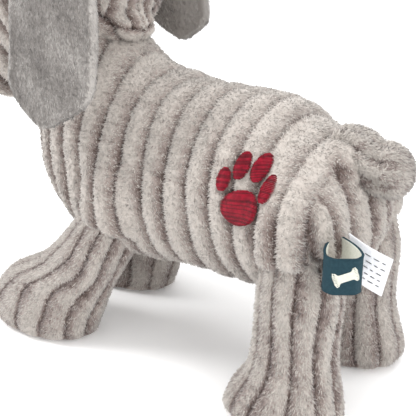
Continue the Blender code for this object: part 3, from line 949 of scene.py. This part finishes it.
def satin_stitch(name, y0, z0, half_y, half_z, step=0.36):
    """Close parallel threads over a rounded patch, arched in the middle."""
    paths, shade = [], []
    rng = np.random.default_rng(int(y0 * 10))
    for u in np.arange(-1 + step / half_z / 2, 1, step / half_z):
        half = half_y * math.sqrt(max(1 - u * u, 0.0)) + 0.25 + rng.uniform(-0.12, 0.12)
        path = []
        for v in np.linspace(-1, 1, 9):
            arch = 0.75 * math.sqrt(max(1 - v * v, 0.0)) - 0.2
            path.append(on_body(y0 + half * v, z0 + half_z * u + 0.1 * half * v, arch))
        paths.append(path)
        shade.append(int(rng.random() < 0.35))
    piece = threads("stitches_" + name, paths, 0.25, CRIMSON, shade)
    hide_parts("motif_" + name)
    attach(piece, "torso")


for row in MOTIF:
    satin_stitch(*row)


# ---- label -----------------------------------------------------------------------
def flat_direction(turn):
    return np.array([math.cos(turn), math.sin(turn)])


def label_path(count=64):
    """The loop seen from above, out of the seam and back, with its length."""
    path = []
    for t in np.linspace(0, 1, 16):
        swing = math.sin(t * math.pi / 2) ** 0.9
        path.append((0.4 + (LABEL_REACH - LABEL_CORNER - 0.4) * t, -0.6 - (LABEL_FACE - 0.6) * swing))
    for a in np.linspace(0, math.pi / 2, 9)[1:]:
        path.append((LABEL_REACH - LABEL_CORNER * (1 - math.sin(a)),
                     LABEL_CORNER * (1 - math.cos(a)) - LABEL_FACE))
    path += [(u, -v) for u, v in reversed(path)]
    flat = np.array(path)
    on_face = flat[:, 0] > LABEL_REACH - 0.5
    flat[:, 0] += 0.5 * np.cos(flat[:, 1] / LABEL_FACE * math.pi / 2) * on_face
    steps = np.r_[0, np.cumsum(np.linalg.norm(np.diff(flat, axis=0), axis=1))]
    even = np.linspace(0, steps[-1], count)
    u = np.interp(even, steps, flat[:, 0])
    v = np.interp(even, steps, flat[:, 1])
    out = flat_direction(LABEL_TURN)
    across = np.array([-out[1], out[0]])
    return SEAM[:2] + u[:, None] * out + v[:, None] * across, steps[-1]


def tape(name, path, low, high, thick, outer, inner, rows=14):
    """A tape standing on edge along a path, with a thicker selvedge at both edges."""
    ahead = np.gradient(path, axis=0)
    side = np.stack([ahead[:, 1], -ahead[:, 0]], -1)
    side /= np.linalg.norm(side, axis=1)[:, None]
    points = []
    for depth in (0.5, -0.5):
        for r in range(rows + 1):
            swell = thick * (1.5 if r in (0, rows) else 1.0)
            level = np.full(len(path), low + (high - low) * r / rows)
            points.append(np.column_stack([path + side * (swell * depth), level]))
    faces = slab_faces(rows, len(path) - 1)
    layers = 2 * rows * (len(path) - 1)
    slots = np.zeros(len(faces), int)
    slots[1:layers:2] = 1
    return quick_mesh(name, np.vstack(points), faces, [outer, inner], slots)


path, label_length = label_path()
label = tape("label_tape", path, LABEL_MIDDLE - LABEL_HALF, LABEL_MIDDLE + LABEL_HALF,
             LABEL_THICK, teal, cream)
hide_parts("label_loop")
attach(label, "label")


def label_spot(along, up):
    """A point on the outside of the loop's front face."""
    last = len(path) - 1
    s = last / 2 + along / label_length * last
    k = int(np.clip(math.floor(s), 0, last - 1))
    ahead = path[k + 1] - path[k]
    side = np.array([ahead[1], -ahead[0]]) / np.linalg.norm(ahead)
    return np.array([*(path[k] + (s - k) * ahead + side * 0.33), LABEL_MIDDLE + up])


def bone_lines():
    """A generic little bone in raised cream yarn."""
    lines = []
    for v in np.arange(-1.0, 1.01, 0.25):
        line = []
        for u in np.linspace(-1, 1, 17):
            bulge = 1.0 + 1.15 * math.exp(-((abs(u) - 0.83) / 0.17) ** 2)
            if abs(u) > 0.93:
                bulge *= 0.75
            a, b = 3.7 * u, 1.05 * v * bulge
            line.append(label_spot(BONE_AT + a * math.cos(BONE_TILT) - b * math.sin(BONE_TILT),
                                   a * math.sin(BONE_TILT) + b * math.cos(BONE_TILT)))
        lines.append(line)
    return lines


marks = threads("label_motif", bone_lines(), 0.24, [cream])
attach(marks, "label")


# ---- care tag --------------------------------------------------------------------
def tag_point(along, down, lift):
    """A point on the care tag: along it from the seam, and down from its top edge."""
    out = flat_direction(TAG_TURN)
    across = np.array([out[1], -out[0]])
    start = SEAM[:2] + np.array([-3.4, 1.6])
    along = along * (1.0 - 0.16 * down / TAG_HEIGHT)
    curve = 1.3 * math.sin(along / TAG_LENGTH * math.pi * 0.9)
    curve += 0.5 * math.sin(down / TAG_HEIGHT * math.pi)
    top = SEAM[2] + 3.0 - math.tan(TAG_DROOP) * along
    return np.array([*(start + out * along + across * (curve + lift)), top - down])


def make_tag(rows=20, columns=20):
    points = []
    for lift in (TAG_HALF_THICK, -TAG_HALF_THICK):
        for r in range(rows + 1):
            for k in range(columns + 1):
                points.append(tag_point(TAG_LENGTH * k / columns, TAG_HEIGHT * r / rows, lift))
    faces = slab_faces(rows, columns)[:, [0, 3, 2, 1]]
    return quick_mesh("care_tag_satin", points, faces, [satin_white])


def tag_dashes():
    """Rows of short dashes in place of print."""
    rng = np.random.default_rng(91)
    dashes = []
    for line in range(5):
        down = 2.7 + 2.1 * line
        start = 5.0
        while start < 13.5:
            end = min(start + rng.uniform(0.9, 2.2), 14.3)
            along = np.linspace(start, end, 5)
            dashes.append([tag_point(a, down, TAG_HALF_THICK + 0.02) for a in along])
            start = end + 0.8
    return dashes


tag = make_tag()
print_lines = threads("care_tag_dashes", tag_dashes(), 0.2, [ink], sides=4)
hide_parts("care_tag")
for piece in (tag, print_lines):
    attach(piece, "tag")


# ---- floor, light and camera -----------------------------------------------------
def floor(reach=1500.0):
    corners = [(-reach, -reach, 0.0), (reach, -reach, 0.0), (reach, reach, 0.0), (-reach, reach, 0.0)]
    made = quick_mesh("floor", corners, [(0, 1, 2, 3)], [paper])
    shader = shader_of(paper)
    shader.inputs["Emission Color"].default_value = (1.0, 1.0, 1.0, 1.0)
    shader.inputs["Emission Strength"].default_value = 0.1


def area_light(name, place, aim, size, power):
    lamp = bpy.data.lights.new(name, "AREA")
    lamp.shape = "DISK"
    lamp.size = size
    lamp.energy = power
    made = bpy.data.objects.new(name, lamp)
    made.location = place
    made.rotation_euler = (Vector(aim) - Vector(place)).to_track_quat("-Z", "Y").to_euler()
    bpy.context.scene.collection.objects.link(made)


floor()
area_light("key", (0.45, -0.75, 0.95), (0.0, 0.0, 0.08), 0.45, 9.0)
area_light("rear", (0.35, 0.9, 0.5), (0.0, 0.0, 0.1), 0.5, 3.5)
area_light("top", (-0.1, 0.1, 1.2), (0.0, 0.0, 0.05), 0.9, 6.5)

world = bpy.data.worlds.new("studio")
bpy.context.scene.world = world
world.use_nodes = True
world.node_tree.nodes["Background"].inputs["Color"].default_value = (1.0, 1.0, 1.0, 1.0)
world.node_tree.nodes["Background"].inputs["Strength"].default_value = 1.0

bpy.context.scene.view_settings.view_transform = "Standard"
bpy.context.scene.view_settings.look = "None"

AZIMUTH = math.radians(125.0)
ELEVATION = math.radians(22.0)
DISTANCE = 0.295
TARGET = Vector((0.0, 0.0205, 0.058))
back = Vector((math.sin(AZIMUTH) * math.cos(ELEVATION), -math.cos(AZIMUTH) * math.cos(ELEVATION),
               math.sin(ELEVATION)))
lens = bpy.data.cameras.new("camera")
lens.sensor_width = 36.0
lens.lens = 67.0673
lens.clip_start = 0.01
camera = bpy.data.objects.new("camera", lens)
camera.location = TARGET + back * DISTANCE
camera.rotation_euler = back.to_track_quat("Z", "Y").to_euler()
bpy.context.scene.collection.objects.link(camera)
bpy.context.scene.camera = camera

bpy.context.view_layer.update()
